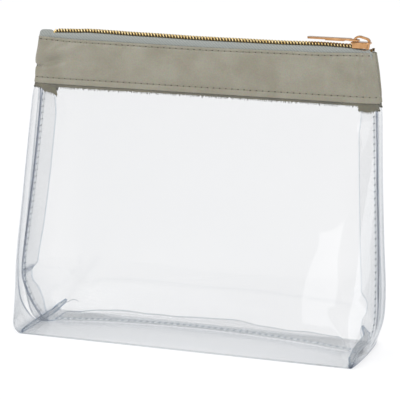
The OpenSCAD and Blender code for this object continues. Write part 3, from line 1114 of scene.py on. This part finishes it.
def makeFitting(node, name, edge, body, finish):
    bm = bmesh.new()
    bm.from_mesh(frame["nodes"][node].data)
    for vert in bm.verts:
        vert.co /= mm
    bmesh.ops.remove_doubles(bm, verts=bm.verts, dist=0.002)
    bmesh.ops.dissolve_limit(bm, angle_limit=math.radians(2), verts=bm.verts, edges=bm.edges)
    limit = math.radians(fitting["edgeAngle"])
    sharp = [e for e in bm.edges if len(e.link_faces) == 2 and e.calc_face_angle(0) > limit]
    bmesh.ops.bevel(bm, geom=sharp, offset=edge, segments=fitting["segments"], profile=0.5, affect="EDGES",
                    material=-1, clamp_overlap=True)
    piece = finishPiece(name, bm, [finish])
    piece.data.set_sharp_from_angle(angle=math.radians(35))
    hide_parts(node)
    if body in ("front_wall", "back_wall"):  # a stop goes where its tape goes
        middle = sum((v.co for v in piece.data.vertices), Vector()) / len(piece.data.vertices) / mm
        followWall(piece, body, [openShare(0.0, middle.x, middle.z)] * len(piece.data.vertices))
    else:
        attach(piece, body)


makeFitting("slider_body", "sliderBody", fitting["sliderEdge"], "slider", platedFinish)
makeFitting("puller", "pullerTab", fitting["pullerEdge"], "puller", platedFinish)
makeFitting("front_top_stop", "frontTopStop", fitting["stopEdge"], "front_wall", stopFinish)
makeFitting("back_top_stop", "backTopStop", fitting["stopEdge"], "back_wall", stopFinish)


def makeBottomStop():  # a low crimp that closes the chain's left end, in the chain's own gold
    bm = bmesh.new()
    bmesh.ops.create_cube(bm, size=1)
    bmesh.ops.subdivide_edges(bm, edges=bm.edges, cuts=2, use_grid_fill=True)
    for vert in bm.verts:
        x, y, z = vert.co
        height = 146.9 + z * 1.3 - 0.9 * y * y + chainRise(-76)
        vert.co = Vector((coilLow.x - 0.1 + x * 0.9, y * 4.0, height))
    bmesh.ops.bevel(bm, geom=[e for e in bm.edges if e.calc_face_angle(0) > 0.7], offset=0.2, segments=2,
                    profile=0.5, affect="EDGES", material=-1)
    piece = finishPiece("bottomStop", bm, [coilFinish])
    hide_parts("bottom_stop")
    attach(piece, "base")


makeBottomStop()
print("stage: fittings made")


# Stage
studio = {"floor": "fbfbfc", "floorGlow": 0.72, "worldStrength": 1.0,
          "sky": [(0.0, (0.8, 0.8, 0.8, 1)), (0.12, (0.57, 0.575, 0.58, 1)), (0.5, (0.8, 0.805, 0.81, 1)),
                  (0.9, (1.0, 1.0, 1.0, 1))]}


def floorMaterial():
    material = newMaterial("whiteSweep")
    paint = addNode(material, "ShaderNodeBsdfDiffuse", {"Color": (0.34, 0.34, 0.34, 1)})
    glow = addNode(material, "ShaderNodeEmission",
                   {"Color": colour(studio["floor"]), "Strength": studio["floorGlow"]})
    both = addNode(material, "ShaderNodeAddShader", {}, {0: paint.outputs[0], 1: glow.outputs[0]})
    addNode(material, "ShaderNodeOutputMaterial", {}, {"Surface": both.outputs[0]})
    return material


def makeFloor():
    bm = bmesh.new()
    bmesh.ops.create_circle(bm, cap_ends=True, segments=64, radius=4.0)
    for vert in bm.verts:
        vert.co.z = -0.0001
    mesh = bpy.data.meshes.new("floor")
    bm.to_mesh(mesh)
    bm.free()
    mesh.materials.append(floorMaterial())
    floor = bpy.data.objects.new("floor", mesh)
    scene.collection.objects.link(floor)


def makeLight(name, place, target, size, power, shade):
    light = bpy.data.lights.new(name, "AREA")
    light.shape = "RECTANGLE"
    light.size, light.size_y = size
    light.energy = power
    light.color = shade
    lamp = bpy.data.objects.new(name, light)
    lamp.location = place
    lamp.rotation_euler = (Vector(target) - Vector(place)).to_track_quat("-Z", "Y").to_euler()
    lamp.visible_camera = False
    scene.collection.objects.link(lamp)


def makeStudio():
    makeFloor()
    world = bpy.data.worlds.new("studio")
    world.use_nodes = True
    background = world.node_tree.nodes["Background"]
    place = addNode(world, "ShaderNodeTexCoord")
    height = addNode(world, "ShaderNodeSeparateXYZ", {}, {0: place.outputs["Generated"]})
    sky = addNode(world, "ShaderNodeValToRGB", {"stops": studio["sky"]}, {"Fac": height.outputs[2]})
    world.node_tree.links.new(sky.outputs["Color"], background.inputs[0])
    background.inputs[1].default_value = studio["worldStrength"]
    scene.world = world
    makeLight("keySoftbox", (-0.9, -1.1, 1.2), (0, 0, 0.08), (0.8, 0.8), 8.0, (1, 0.99, 0.97))
    makeLight("frontSoftbox", (0.03, -1.2, 0.16), (0.07, 0, 0.05), (0.52, 0.17), 0.2, (1, 1, 1))
    makeLight("sideSoftbox", (1.2, -0.7, 0.5), (0, 0, 0.08), (1.0, 1.4), 4.5, (0.97, 0.98, 1))


makeStudio()
print("stage: studio made")
